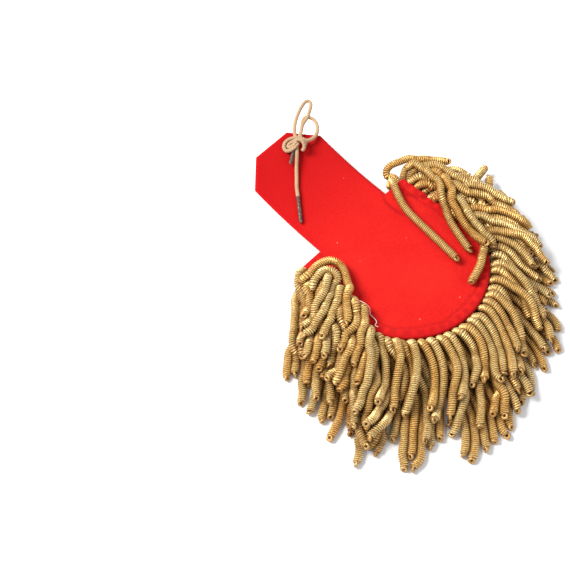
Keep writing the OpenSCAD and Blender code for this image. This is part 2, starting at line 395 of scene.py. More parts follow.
def braid_growth():
    """Round lace along each edge run, raised in the crossing diagonals of its braid."""
    net, given = growth("braid", "Radius", "Step", "Relief", "Pitch")
    curve = net.node("GeometryNodeMeshToCurve", {}, {"Mesh": given["Source"]})
    curve = respaced(net, curve, given["Step"])
    curve = stored(net, curve, "run", net.node("GeometryNodeSplineParameter", out="Length"))
    ring = circle(net, braid_sides, 1.0)
    ring = stored(net, ring, "turn", net.node("GeometryNodeSplineParameter", out="Factor"))
    tube = swept(net, curve, ring, given["Radius"] - given["Relief"])
    height = crossing_strands(recalled(net, "run") / given["Pitch"], recalled(net, "turn") * braid_strands)
    lift = scaled(net, net.node("GeometryNodeInputNormal"), height * given["Relief"])
    tube = net.node("GeometryNodeSetPosition", {}, {"Geometry": tube, "Offset": lift})
    return grown(net, tube, given)


def lace_finish(net):
    height = crossing_strands(net.attribute("run") / braid_pitch, net.attribute("turn") * braid_strands)
    fibres = net.noise(net.place(), scale=2600, detail=3.0)
    soil = net.clipped(net.noise(net.place(), scale=90, detail=3.0), 0.48, 0.72)
    # Painted shade in the braid's hollows, lighter on its crowns.
    thread = net.mix(net.clipped(height + fibres * 0.5, -0.6, 1.0), lace_hollow_shade, lace_crown)
    worn = net.mix(soil * 0.45, thread, lace_soiled)
    fuzz = net.bump(fibres, 0.35, 0.2 * MM)
    return {"Base Color": worn, "Roughness": 0.88, "Normal": fuzz, "Sheen Weight": 0.25}


lace_beige = finish_of("lace_beige", lace_finish)
braid = braid_growth()


def laced(name, *routes):
    """A run of lace along each route, standing for the lace of the frame, and the first route's line."""
    lines = [smoothed([from_notch(p) for p in route], lace_step) for route in routes]
    made = grow(name, chains(name, lines), braid, Radius=lace_d / 2, Step=lace_step, Relief=braid_relief,
                Pitch=braid_pitch, Material=lace_beige)
    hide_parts("lace")
    return made, lines[0]


laced("lace_knot", outer_wrap, inner_wrap, last_wrap, hole_run, [short_root, *short_end])
for loop_name, loop_route in (("lace_tall_loop", tall_loop), ("lace_round_loop", round_loop)):
    loop, line = laced(loop_name, loop_route)
    length_of(line)
long_lace, long_line = laced("lace_long_end", long_end)

# The two tags. Each is a strip of japanned tinplate rolled round the lace's end, with
# an open seam along it, crimped on near its mouth and nipped shut at its tip.
tag_r = 1.2 * MM
tag_rings = 40
tag_sides = 20
tag_slope = math.radians(7)
tag_bend = 0.25 * MM
seam_width = 0.55
seam_depth = 0.16 * MM
seam_wander = 0.12
crimps_at = (1.6 * MM, 3.4 * MM)
crimp_w = 0.5 * MM
crimp_depth = 0.2 * MM
lip_h = 0.12 * MM
lip_w = 0.4 * MM
nip_l = 2.4 * MM
nip_share = 0.62
# Node of each tag, the end of lace it sits on, the way it points in degrees and its length in millimetres
tag_ends = (("long_aglet", long_end, 230, 19), ("short_aglet", short_end, 212, 12))
lacquer_dark = (0.03, 0.014, 0.009, 1)
lacquer_brown = (0.1, 0.048, 0.03, 1)
bare_tin = (0.24, 0.16, 0.12, 1)


def tag_radius(along, length):
    """The tag's radius at a distance from its mouth: a rolled lip, two crimps and a nipped tip."""
    crimps = sum(math.exp(-((along - place) / crimp_w) ** 2) for place in crimps_at)
    lip = lip_h * math.exp(-(along / lip_w) ** 2)
    nip = max(0.0, (along - length + nip_l) / nip_l)
    return tag_r + lip - crimp_depth * crimps - nip_share * tag_r * nip ** 1.6


def tag_ring(along, length, wander):
    """The points round the tag at a distance from its mouth, sunk where its edges meet."""
    ring = []
    for j in range(tag_sides):
        angle = math.tau * j / tag_sides
        off_seam = min(1.0, abs((angle - math.pi + wander) / seam_width))
        r = tag_radius(along, length) - seam_depth * (1 - off_seam) ** 2
        bend = tag_bend * (along / length) ** 2
        ring.append(Vector((r * math.cos(angle) - bend, r * math.sin(angle), along)))
    return ring


def tag_mesh(name, mouth, turn, length):
    """A rolled tag from its mouth, pointing at turn degrees and a little downwards."""
    mesh = bmesh.new()
    slope = Matrix.Rotation(math.pi / 2 + tag_slope, 4, "Y")
    place = Matrix.Translation(from_notch(mouth)) @ (Matrix.Rotation(math.radians(turn), 4, "Z") @ slope)
    rings = []
    for k in range(tag_rings + 1):
        ring = tag_ring(length * k / tag_rings, length, seam_wander * math.sin(9 * k))
        rings.append([mesh.verts.new(place @ point) for point in ring])
    for a, b in zip(rings, rings[1:]):
        for j in range(tag_sides):
            mesh.faces.new((a[j], a[(j + 1) % tag_sides], b[(j + 1) % tag_sides], b[j]))
    mesh.faces.new(list(reversed(rings[0])))
    mesh.faces.new(rings[-1])
    for face in mesh.faces:
        face.smooth = len(face.verts) == 4
    bmesh.ops.recalc_face_normals(mesh, faces=mesh.faces)
    made = bpy.data.meshes.new(name)
    mesh.to_mesh(made)
    mesh.free()
    return made


def tag_finish(net):
    place = net.place()
    chipped = net.clipped(net.noise(place, scale=700, detail=4.0, roughness=0.65), 0.53, 0.62)
    streaks = net.noise(place, scale=240)
    shade = net.mix(chipped, net.mix(streaks, lacquer_dark, lacquer_brown), bare_tin)
    chips = net.bump(streaks + chipped * 0.5, 0.4, 0.1 * MM)
    rough = 0.5 - chipped * 0.12
    return {"Base Color": shade, "Metallic": chipped * 0.6, "Roughness": rough, "Normal": chips}


tag_brown = finish_of("tag_brown", tag_finish)
for tag_node, lace_end, turn, tag_l in tag_ends:
    tag_name = "tag_" + tag_node.split("_")[0]
    tag = piece(tag_name, tag_mesh(tag_node, lace_end[-1], turn, tag_l * MM), tag_brown)
    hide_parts(tag_node)
length_of(long_line)

# The lining. Thick red wool felt, cut to the board with a turned hem sewn down round
# the pad's rim. The stitches draw the hem in, and years of lying have creased the felt.
shoulder_w = 94 * MM
strap_w = 60 * MM
strap_l = 74 * MM
clip_w = 16 * MM
clip_l = 15 * MM
widest_at = 58 * MM
bend_r = 228 * MM
felt_t = 1.2 * MM
felt_grid = 1.15 * MM
felt_wave_h = 0.3 * MM
felt_sharp = math.radians(55)
edge_round_w = 0.9 * MM
edge_round_h = 0.5 * MM
hem_w = 6 * MM
hem_h = 0.5 * MM
hem_groove_w = 0.9 * MM
hem_groove_depth = 0.8 * MM
stitch_gap = 7.1 * MM
stitch_h = 0.85 * MM
lace_hole_r = 1.4 * MM
hole_sides = 16
# Outward step and height over the felt's underside of each ring that wraps the board's edge
felt_skirt = [(0.38 * MM, 0.35 * MM), (0.5 * MM, -0.5 * MM), (0.35 * MM, -1.5 * MM)]
# Points from the middle of the notch line, height (negative for a hollow) and half width, in millimetres
creases = [
    ([(29, 2), (26, -3), (25.2, -9), (25.3, -15), (26.5, -22)], -0.55, 1.5),
    ([(34, 1), (30.5, -4), (30, -10), (31, -17)], 0.5, 2.6),
    ([(38, -8), (42, -15), (47, -21), (53, -25)], -0.45, 2.2),
    ([(34, -6), (39, -17), (47, -27)], 0.4, 3.0),
    ([(-32, -4), (-27, -12), (-18.7, -27)], 0.3, 2.4),
    ([(-30, -3), (-24, -9), (-17, -12), (-11, -22)], -0.12, 3.0),
    ([(-22, 34), (-8, 26), (6, 14), (18, 2)], 0.25, 5.0),
]
nap_dark = (0.43, 0.004, 0.0035, 1)
nap_light = (0.63, 0.012, 0.009, 1)
felt_bright = (0.66, 0.018, 0.011, 1)
felt_worn = (0.4, 0.002, 0.006, 1)
# Soil and painted shade in the felt's dips
felt_soiled_and_shaded = (0.25, 0.001, 0.004, 1)
# Painted shade along the strap
strap_shaded_red = (0.385, 0.001, 0.0025, 1)
lint_pink = (0.8, 0.32, 0.28, 1)
lining_low, lining_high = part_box("lining")
pad_w = lining_high.x - lining_low.x
pad_l = notch_y - lining_low.y
felt_under = lining_low.z
round_depth = pad_l - widest_at
round_r = ((pad_w / 2) ** 2 + round_depth ** 2) / (2 * round_depth)
round_y = notch_y - pad_l + round_r
round_start = math.asin((notch_y - widest_at - round_y) / round_r)
lace_holes = [(np.array(from_notch((x, 64, 0))[:2]), lace_hole_r) for x in (6.5, 14.5)]


def felt_outline(step):
    """The lining's outline, anticlockwise from the right shoulder: up the strap, down and round the pad."""
    x = strap_w / 2
    end = notch_y + strap_l
    right_clip = [(x, end - clip_l), (x - clip_w, end)]
    left_clip = [(clip_w - x, end), (-x, end - clip_l)]
    flank = [(pad_w / 2, notch_y - widest_at), (shoulder_w / 2, notch_y)]
    strap = [(x, notch_y), *right_clip, *left_clip, (-x, notch_y)]
    corners = flank + strap + [(-px, py) for px, py in reversed(flank)]
    line = []
    for (ax, ay), (bx, by) in zip(corners, corners[1:]):
        count = max(1, round(math.hypot(bx - ax, by - ay) / step))
        line += [(ax + (bx - ax) * k / count, ay + (by - ay) * k / count) for k in range(count)]
    arc = math.pi + 2 * round_start
    count = round(arc * round_r / step)
    for k in range(count):
        angle = math.pi - round_start + arc * k / count
        line.append((round_r * math.cos(angle), round_y + round_r * math.sin(angle)))
    return np.array(line)


def distance_to(points, line, closed=True):
    """How far each point is from a line of points, and how far along the line its nearest point is."""
    ends = np.roll(line, -1, axis=0) if closed else line[1:]
    starts = line if closed else line[:-1]
    run = np.concatenate([[0], np.cumsum(np.linalg.norm(ends - starts, axis=1))])
    best = np.full(len(points), np.inf)
    where = np.zeros(len(points))
    for k, (a, b) in enumerate(zip(starts, ends)):
        d = b - a
        t = np.clip((points - a) @ d / (d @ d), 0, 1)
        far = np.linalg.norm(points - a - t[:, None] * d, axis=1)
        near = far < best
        best[near] = far[near]
        where[near] = run[k] + t[near] * math.sqrt(d @ d)
    return best, where


def inside(points, line):
    """Whether each point is inside a closed line."""
    within = np.zeros(len(points), bool)
    for a, b in zip(line, np.roll(line, -1, axis=0)):
        spans = (a[1] > points[:, 1]) != (b[1] > points[:, 1])
        if a[1] != b[1]:
            cross = a[0] + (points[:, 1] - a[1]) * (b[0] - a[0]) / (b[1] - a[1])
            within ^= spans & (points[:, 0] < cross)
    return within


def eased(value, low, high):
    """A smooth step from 0 at low to 1 at high."""
    t = np.clip((value - low) / (high - low), 0, 1)
    return t * t * (3 - 2 * t)


def ridge(off, half_width):
    """A bell of height 1 over a line, for the distance off it."""
    return np.exp(-(off / half_width) ** 2)


def bent_up(y):
    """How far the board's upward bend lifts it at y."""
    past = np.clip(y - notch_y, 0, None)
    return bend_r - np.sqrt(bend_r ** 2 - past ** 2)


def hem_share(x, y):
    """Where the hem shows: all round the pad and on its shoulders, fading out towards the strap."""
    on_pad = 1 - eased(y, notch_y - 7 * MM, notch_y + 1 * MM)
    shoulder = eased(np.abs(x), strap_w / 2 - 1 * MM, strap_w / 2 + 4 * MM)
    rounded = 1 - eased(y, notch_y - 16 * MM, notch_y - 6 * MM)
    return np.maximum(rounded, shoulder) * np.maximum(on_pad, shoulder)


def felt_relief(points, line):
    """Height of the felt's upper side over its flat, for hem and creases, and the soil and painted shade in
    its dips.
    """
    off, run = distance_to(points, line)
    x, y = points[:, 0], points[:, 1]
    hemmed = hem_share(x, y)
    wobble = 0.5 * MM * np.sin(run / (5.3 * MM)) + 0.35 * MM * np.sin(run / (2.9 * MM) + 1.7)
    band = 1 - eased(off, hem_w - 0.8 * MM + wobble, hem_w + 0.6 * MM + wobble)
    groove = ridge(off - hem_w - 0.4 * MM - wobble, hem_groove_w)
    beat = math.tau * run / stitch_gap + 1.6 * np.sin(run / (17 * MM)) + 1.3 * np.sin(run / (9.3 * MM) + 2)
    stitch = (0.5 + 0.5 * np.cos(beat)) ** 3 * (0.75 + 0.35 * np.sin(run / (23 * MM) + 1))
    draw = ridge(off - 0.5 * hem_w, 0.4 * hem_w)
    pulled = stitch_h * (stitch - 0.3) * draw
    height = hemmed * (hem_h * band + pulled - hem_groove_depth * groove * (0.55 + 0.45 * stitch))
    height += felt_wave_h * np.sin(x / (8 * MM) + 1.3) * np.sin(y / (11 * MM)) * eased(off, 0, 9 * MM)
    # Soil and painted shade in the hem's groove and between the stitches.
    between = np.clip(1 - stitch, 0, 1) ** 4 * draw
    soil = hemmed * (0.95 * groove * (0.45 + 0.55 * stitch) + 0.6 * between)
    for route, depth, width in creases:
        route = np.array([from_notch((px, py, 0))[:2] for px, py in route])
        near, along = distance_to(points, route, closed=False)
        fade = np.sin(np.clip(along / along.max(), 0, 1) * math.pi) ** 0.5
        height += depth * MM * fade * ridge(near, width * MM)
        # Painted shade along the hollow creases.
        soil = soil + max(0, -2 * depth) * fade * ridge(near, 0.6 * width * MM)
    edge = np.clip(1 - off / edge_round_w, 0, 1)
    return height - edge_round_h * edge ** 2, np.clip(soil, 0, 1)


def edge_loops(faces):
    """The closed runs of edges that belong to one triangle only, the longest first."""
    directed = {edge for a, b, c in faces for edge in ((a, b), (b, c), (c, a))}
    after = {a: b for a, b in directed if (b, a) not in directed}
    loops = []
    while after:
        loop = [next(iter(after))]
        while after[loop[-1]] != loop[0]:
            loop.append(after[loop[-1]])
        for point in loop:
            del after[point]
        loops.append(loop)
    return sorted(loops, key=len, reverse=True)


def laid_flat(line, grid, holes):
    """Points and triangles that fill a closed line but for the round holes, and each edge loop."""
    low, high = line.min(axis=0), line.max(axis=0)
    rows = []
    for k, y in enumerate(np.arange(low[1], high[1], grid * math.sqrt(3) / 2)):
        xs = np.arange(low[0] + (k % 2) * grid / 2, high[0], grid)
        rows.append(np.stack([xs, np.full(len(xs), y)], axis=1))
    mesh_points = np.concatenate(rows)
    off, _ = distance_to(mesh_points, line)
    keep = inside(mesh_points, line) & (off > 0.55 * grid)
    rings = [line]
    for centre, radius in holes:
        keep &= np.linalg.norm(mesh_points - centre, axis=1) > radius + 0.45 * grid
        turn = np.linspace(0, math.tau, hole_sides + 1)[:-1]
        rings.append(centre + radius * np.stack([np.cos(turn), np.sin(turn)], axis=1))
    edges, first = [], 0
    for ring in rings:
        edges += [(first + k, first + (k + 1) % len(ring)) for k in range(len(ring))]
        first += len(ring)
    given = np.concatenate([*rings, mesh_points[keep]])
    flat = delaunay_2d_cdt([Vector(p) for p in given], edges, [list(range(len(line)))], 1, 1e-9)
    points = np.array([tuple(p) for p in flat[0]])
    faces = []
    for face in flat[2]:
        middle = points[list(face)].mean(axis=0)
        if all(np.linalg.norm(middle - centre) > 0.98 * radius for centre, radius in holes):
            faces.append(tuple(face))
    return points, faces, edge_loops(faces)


def outward_of(edge):
    """The outward direction at each point of an anticlockwise closed line."""
    along = np.roll(edge, -1, axis=0) - np.roll(edge, 1, axis=0)
    return np.stack([along[:, 1], -along[:, 0]], axis=1) / np.linalg.norm(along, axis=1)[:, None]


def slab(name, flat, floor, top, skirt):
    """A closed shell between two heights, with skirt's rings of outward step and height at its rim."""
    points, faces, loops = flat
    count = len(points)
    verts = [*np.column_stack([points, top]), *np.column_stack([points, floor])]
    polygons = faces + [(c + count, b + count, a + count) for a, b, c in faces]
    for loop in loops:
        edge = points[loop]
        outward = outward_of(edge)
        rings = [loop]
        for step_out, rise in skirt if loop is loops[0] else ():
            rings.append(list(range(len(verts), len(verts) + len(loop))))
            verts += list(np.column_stack([edge + step_out * outward, floor[loop] + rise]))
        rings.append([k + count for k in loop])
        for a, b in zip(rings, rings[1:]):
            polygons += [(a[(k + 1) % len(a)], a[k], b[k], b[(k + 1) % len(a)]) for k in range(len(a))]
    mesh = bpy.data.meshes.new(name)
    mesh.from_pydata([tuple(v) for v in verts], [], polygons)
    mesh.shade_smooth()
    mesh.set_sharp_from_angle(angle=felt_sharp)
    return mesh


def felt_mesh():
    """The felt with its turned hem, which wraps the board's edge."""
    line = felt_outline(felt_grid)
    flat = laid_flat(line, felt_grid, lace_holes)
    floor = felt_under + bent_up(flat[0][:, 1])
    relief, soil = felt_relief(flat[0], line)
    mesh = slab("lining_felt", flat, floor, floor + felt_t + relief, felt_skirt)
    places = np.array([v.co[:2] for v in mesh.vertices])
    tell(mesh, "rim", distance_to(places, line)[0])
    # The soil and painted shade in the dips, on the upper side only.
    shown = np.zeros(len(places))
    shown[:len(soil)] = soil
    tell(mesh, "soil", shown)
    return mesh


def felt_finish(net):
    place = net.place()
    fibres = net.noise(place, scale=1500, detail=4.0, roughness=0.7)
    nap = net.noise(place, scale=420, detail=3.0, roughness=0.6)
    cloud = net.noise(place, scale=38, detail=3.0, roughness=0.55)
    stain = net.clipped(net.noise(place, scale=17), 0.5, 0.75)
    red = net.mix(net.clipped(fibres, 0.3, 0.7), nap_dark, nap_light)
    red = net.mix(net.clipped(cloud, 0.35, 0.7) * 0.35, red, felt_bright)
    red = net.mix(stain * 0.3, red, felt_worn)
    handled = net.clipped(net.attribute("rim") + cloud * (3 * MM), 1.6 * MM, 5.2 * MM, 1.0, 0.0)
    red = net.mix(handled * 0.45, red, felt_worn)
    # Soil and painted shade in the hem's groove, between the stitches and in the creases.
    red = net.mix(net.attribute("soil") * 0.7, red, felt_soiled_and_shaded)
    # Painted shade: the felt grows darker along the strap towards its end.
    ahead = net.node("ShaderNodeSeparateXYZ", {}, {0: place}).of("Y")
    on_strap = net.clipped(ahead + cloud * (30 * MM), notch_y - 10 * MM, notch_y + 70 * MM)
    red = net.mix(on_strap * 0.75, red, strap_shaded_red)
    lint = net.node("ShaderNodeTexVoronoi", {}, {"Vector": place, "Scale": 210, "Randomness": 1.0})
    chance = net.node("ShaderNodeSeparateColor", {}, {0: lint.of("Color")})
    speck = net.clipped(lint, 0.05, 0.09, 1.0, 0.0) * net.clipped(chance, 0.93, 0.95)
    return {
        "Base Color": net.mix(speck * 0.75, red, lint_pink),
        "Normal": net.bump(fibres * 0.5 + nap, 0.5, 0.3 * MM),
        "Roughness": 0.95,
        "Sheen Weight": 0.03,
        "Specular IOR Level": 0.15,
    }


felt_red = finish_of("felt_red", felt_finish)
felt = piece("lining_felt", felt_mesh(), felt_red)
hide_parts("lining")

# The facing. The worn side of the stiff board, hidden underneath here, is covered with
# woven gold lace, glued and turned over its edge before the felt is sewn over it.
facing_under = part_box("facing")[0].z
facing_inset = 0.25 * MM
facing_grid = 3 * MM
facing_gap = 0.15 * MM
weave_thread = 1.1 * MM
weave_dark = (0.2, 0.1, 0.02, 1)
weave_gold = (0.72, 0.47, 0.16, 1)
chevron_gold = (0.85, 0.62, 0.28, 1)
weave_dull = (0.22, 0.12, 0.03, 1)


def facing_finish(net):
    place = net.node("ShaderNodeSeparateXYZ", {}, {0: net.place()})
    x = place / weave_thread
    y = place.of("Y") / weave_thread
    weave = (x * math.pi).sine() * (y * math.pi).sine()
    chevron = ((y + (x * 0.125 * math.pi).sine().size() * 6) * 0.25 * math.pi).sine()
    dull = net.noise(net.place(), scale=60, detail=3.0)
    thread = net.mix(net.clipped(weave, -0.8, 0.8), weave_dark, weave_gold)
    thread = net.mix(net.clipped(chevron, -0.2, 0.5) * 0.35, thread, chevron_gold)
    shade = net.mix(net.clipped(dull, 0.45, 0.7) * 0.5, thread, weave_dull)
    relief = net.bump(weave + chevron * 0.6, 0.7, 0.3 * MM)
    return {"Base Color": shade, "Metallic": 0.75, "Roughness": 0.42, "Normal": relief}


board_edge = felt_outline(facing_grid)
board_flat = laid_flat(board_edge - facing_inset * outward_of(board_edge), facing_grid, lace_holes)
board_floor = facing_under + bent_up(board_flat[0][:, 1])
board_top = board_floor + felt_under - facing_under - facing_gap
board_mesh = slab("facing_board", board_flat, board_floor, board_top, ())
facing = piece("facing_board", board_mesh, finish_of("facing_gold_lace", facing_finish))
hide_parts("facing")
felt_cut = felt_outline(felt_grid)

# The crescent. A roll of cotton wadding is wound closely with gilt wire and sewn to the
# worn side of the board, round the pad's rim. The epaulette lies on it here.
roll_inset = 2.2 * MM
roll_r = 7 * MM
roll_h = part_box("crescent")[1].z
roll_steps = 240
roll_sides = 20
roll_end_steps = 5
roll_end_girth = 0.35
wind_pitch = 1.15 * MM
wind_relief = 0.075
wind_slant = 0.35
wind_gold = (0.78, 0.52, 0.2, 1)
wind_shadow = (0.16, 0.075, 0.015, 1)
wind_dull = (0.2, 0.1, 0.025, 1)
flank_l = math.hypot(pad_w / 2 - shoulder_w / 2, widest_at)
flank_slant = math.atan2(pad_w / 2 - shoulder_w / 2, widest_at)
rim_l = 2 * flank_l + round_r * (math.pi + 2 * round_start)


def rim_at(place, inset):
    """Point of the lining's rim, moved in by inset: place 0 is the right shoulder and 1 the left one."""
    side = 1 if place <= 0.5 else -1
    run = rim_l * min(place, 1 - place)
    if run < flank_l:
        x = shoulder_w / 2 + run * math.sin(flank_slant) - inset
        return Vector((side * x, notch_y - run * math.cos(flank_slant), 0))
    angle = round_start - (run - flank_l) / round_r
    r = round_r - inset
    return Vector((side * r * math.cos(angle), round_y + r * math.sin(angle), 0))


def rim_line(steps, inset, height):
    """A line round the pad, level and moved in from its rim."""
    line = []
    for k in range(steps + 1):
        point = rim_at(k / steps, inset)
        point.z = height
        line.append(point)
    return line


def wire_rings(net, curve, pitch, relief):
    """A curve with a point for each half turn of wire, and the rings' scale, high and low by turns."""
    curve = respaced(net, curve, pitch * 0.5)
    curve = net.node("GeometryNodeSetCurveNormal", {"mode": "Z_UP"}, {"Curve": curve})
    low_ring = net.node("GeometryNodeInputIndex") % 2
    curve = stored(net, curve, "groove", low_ring)
    return curve, recalled(net, "girth") * (1 - low_ring * relief)


def wound_growth():
    """A wound roll along each edge run, with slanting rings of wire."""
    net, given = growth("winding", "Half Width", "Half Height", "Pitch", "Relief", "Slant")
    curve = net.node("GeometryNodeMeshToCurve", {}, {"Mesh": given["Source"]})
    curve, scale = wire_rings(net, curve, given["Pitch"], given["Relief"])
    at = net.node("ShaderNodeSeparateXYZ", {}, {0: net.node("GeometryNodeInputPosition")})
    shape = net.node("ShaderNodeCombineXYZ", {}, {
        "X": at * given["Half Width"],
        "Y": at.of("Y") * given["Half Height"],
        "Z": at * given["Slant"] * given["Half Width"],
    })
    ring = circle(net, roll_sides, 1.0)
    ring = net.node("GeometryNodeSetPosition", {}, {"Geometry": ring, "Position": shape})
    return grown(net, swept(net, curve, ring, scale), given, ridged=True)


def roll_finish(net):
    dull = net.noise(net.place(), scale=130, detail=3.0, roughness=0.6)
    wire = net.mix(net.attribute("groove"), wind_gold, wind_shadow)
    shade = net.mix(net.clipped(dull, 0.42, 0.68) * 0.6, wire, wind_dull)
    return {"Base Color": shade, "Metallic": 0.85, "Roughness": 0.36 + dull * 0.2}


def roll_girth(k):
    """The roll's share of its full girth at a step, less at its two ends."""
    share = min(1.0, min(k, roll_steps - k) / roll_end_steps)
    return min(1.0, roll_end_girth + (1 - roll_end_girth) * math.sin(share * math.pi / 2))


winding = wound_growth()
roll_gold = finish_of("roll_gilt_wire", roll_finish)
roll_line = rim_line(roll_steps, roll_inset + roll_r, roll_h / 2)
roll_source = chains("crescent_roll", [roll_line], girth=[[roll_girth(k) for k in range(roll_steps + 1)]])
roll_values = {"Half Width": roll_r, "Half Height": roll_h / 2, "Pitch": wind_pitch, "Relief": wind_relief,
               "Slant": wind_slant, "Material": roll_gold}
roll = grow("crescent_roll", roll_source, winding, **roll_values)
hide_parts("crescent")

# The bullion fringe. Each bullion is a limp tube of fine gilt wire wound in a close coil,
# ending in a small eyelet. Three rows of them hang from a heading band sewn round the
# pad's rim, and where the piece was laid down they slid over each other and the felt.
bullion_r = 2.75 * MM
bullion_sides = 12
neck_r = 1.7 * MM
neck_steps = 3
coil_pitch = 1.25 * MM
coil_depth = 0.2
coil_slant = 0.22
eyelet_r = 1.5 * MM
eyelet_wire_r = 0.9 * MM
eyelet_sides = 12
eyelet_wire_sides = 6
eyelet_tilt = ((-0.9, -0.9, -0.2), (0.9, 0.9, 1.0))
eyelet_seed = 5
link_l = 2.5 * MM
heading_inset = 1.2 * MM
fringe_seed = 1871
# Place on the rim; heading in degrees of the upper rows at the start, lying and at the tip; heading of the
# outer row lying and at the tip; length in millimetres of the outer, middle and inner row
flow_columns = ("place", "start", "lying", "tip", "outer lying", "outer tip", "outer", "middle", "inner")
fringe_flow = [
    (0.00, -58, -90, -80, -35, -42, 45, 56, 66),
    (0.06, -60, -84, -72, -38, -46, 43, 54, 61),
    (0.12, -60, -78, -68, -42, -52, 40, 50, 54),
    (0.20, -62, -78, -74, -50, -60, 38, 45, 48),
    (0.27, -66, -88, -94, -58, -72, 40, 44, 44),
    (0.33, -76, -98, -112, -68, -90, 41, 46, 44),
    (0.38, -88, -108, -130, -76, -108, 48, 50, 44),
    (0.45, -98, -116, -138, -90, -128, 58, 55, 46),
    (0.51, -102, -128, -152, -100, -140, 66, 60, 48),
    (0.59, -105, -138, -162, -114, -150, 75, 65, 51),
    (0.66, -106, -144, -164, -128, -154, 77, 66, 52),
    (0.75, -108, -147, -162, -136, -151, 76, 66, 53),
    (0.87, -110, -146, -157, -141, -146, 74, 64, 54),
    (0.95, -114, -145, -152, -142, -143, 68, 61, 53),
    (1.00, -118, -142, -147, -141, -140, 63, 57, 51),
]
# Row; its bullions; share of the upper rows' heading; height at root, crest and tip and way to the crest in mm
fringe_rows = [
    ("outer", 50, 0.0, 2.6, 2.9, 2.8, 6),
    ("middle", 45, 0.6, 5.6, 9.8, 6.5, 9),
    ("inner", 46, 1.0, 8.3, 17.2, 11.5, 7.5),
]
# How much one bullion differs from the next, in places, degrees and millimetres
place_spread = 0.2
lying_spread = 6
start_spread = 7
tip_spread = 13
length_spread = 7
crest_spread = 1
# Limits of a bullion's heading at the rim in degrees, and where it bends, in millimetres and as a share of it
out_limits = (-152, -25)
first_bend = (4.5, 8)
second_bend = (10, 15)
lying_from = 0.55
# Loose bullions that lie over the felt, in millimetres from the middle of the notch line
loose_lift = 0.5
lifted_over = 8
loose_routes = [
    [(45.7, -0.7, 7.4), (42, 6.5, 9.5), (42.5, 11, 11.5), (47, 12.5, 14),
     (54.5, 9, 15.5), (61, 3.5, 16), (68.5, -5.5, 17.5), (75.2, -13.3, 16.7)],
    [(45.6, -1.2, 3.1), (44.8, 3, 4.5), (42.6, 4.4, 9), (39.8, 3.6, 13.8), (36.8, -0.6, 16.8),
     (32.3, -8.5, 16.2), (27.8, -20.2, 15.9), (25.2, -42.5, 16.4), (22.4, -65.2, 16.9)],
    [(46.3, -2.7, 6.7), (51, 2.5, 9), (56, 4, 13.5), (59.5, -3, 17.5),
     (57, -14, 20), (54.5, -25, 19.9), (41.5, -43.5, 17), (33, -67, 16.7)],
    [(46.9, -10, 7.1), (54, -8, 10), (62.8, -14.2, 18.5), (60, -28.3, 20.5),
     (51.2, -40.5, 20.3), (45.5, -56, 19), (42.8, -66, 20.5), (41, -73, 22)],
    [(48, -29.5, 7.5), (55.5, -28.8, 11.8), (54.5, -36.5, 19.5),
     (50.3, -48.3, 21), (46, -62.3, 20.5), (44.7, -76.3, 17.7)],
    [(48.7, -66, 7.3), (52, -70.5, 13.5), (42.5, -72.5, 17.5),
     (36.5, -75, 17), (28.5, -79.5, 17.3), (16.7, -82.7, 16.5)],
    [(-46.5, -5, 7), (-50, -7.5, 8.5), (-54, -10.5, 12), (-55, -11.5, 17), (-51.5, -10.8, 20.5),
     (-46.5, -9.8, 21.3), (-40.2, -9.8, 21), (-34.8, -12.2, 20.3), (-32.6, -18, 19), (-35.7, -25.1, 19.5),
     (-41.9, -32.9, 20), (-51, -41.5, 19.5), (-60.7, -49.2, 17.5)],
    [(-47.5, -13, 6.7), (-51.5, -15, 9), (-55.5, -16.5, 13), (-56, -16.5, 18), (-52, -15, 21.5),
     (-47, -13.6, 22), (-42.2, -14.8, 21.5), (-40.8, -19.3, 21), (-44, -23.8, 20.5), (-54.9, -29.6, 19.5),
     (-69, -33, 18), (-82, -35.5, 15)],
    [(-48, -20.4, 7.6), (-52.2, -21.1, 12.4), (-43.2, -20.9, 20.7),
     (-49.5, -25.5, 20.5), (-60, -28.5, 19.5), (-79.3, -33, 14.7)],
    [(-48.3, -28.7, 7.7), (-52.8, -29, 12), (-45.5, -27.5, 20),
     (-51.2, -32.7, 20.5), (-60, -38.5, 18.8), (-76, -45.2, 15)],
    [(-48.2, -37, 7.3), (-53.5, -34.5, 13.5), (-45, -35.5, 19.5),
     (-49, -44.5, 19.3), (-57.5, -52.5, 17.5), (-74, -56.7, 14.7)],
    [(-48.5, -44.9, 6.3), (-53.5, -43.2, 13.2), (-45.5, -46.5, 20.3),
     (-50, -52.8, 19.8), (-57.8, -60, 18.2), (-74.8, -69.6, 15.5)],
    [(-46.5, -1.5, 5), (-49.5, -3, 8.5), (-50.5, -7.5, 13),
     (-54, -14, 16), (-61.5, -21, 16), (-71, -29, 13.5)],
    [(49, -26, 6), (60, -30, 7), (75, -33, 8), (85, -32.3, 8), (94, -31.1, 8)],
    [(49.5, -36, 6), (60, -41, 7), (74, -45, 7.5), (84, -43, 8), (90.5, -38.1, 8)],
    [(50, -44, 6), (60, -50, 7), (72, -56, 7.5), (80, -55, 8), (86, -50.6, 8)],
    [(47.5, -4, 7.5), (52.5, -3.5, 11), (58, -2.5, 16), (61, -6, 18.5), (64, -15.5, 19.5),
     (65, -25, 19.5), (65.5, -35, 19), (65, -46, 18), (62, -56, 17)],
    [(49, -22, 7.5), (54, -21, 12), (59.5, -25, 18), (63.5, -34, 20), (66, -43, 19.5),
     (68.5, -53, 18), (72, -64.5, 15.5), (75, -73, 12.5)],
    [(50.5, -50, 7.5), (55, -50.5, 13), (57.5, -56, 18), (57.5, -66, 19.5),
     (61.5, -77, 18), (67.5, -87, 15), (67, -95, 11.5)],
    [(48, -9, 7), (52, -8, 10), (58, -9, 13), (65, -13, 15),
     (71, -17, 14.5), (77.5, -22, 13), (78.5, -28.5, 11)],
]
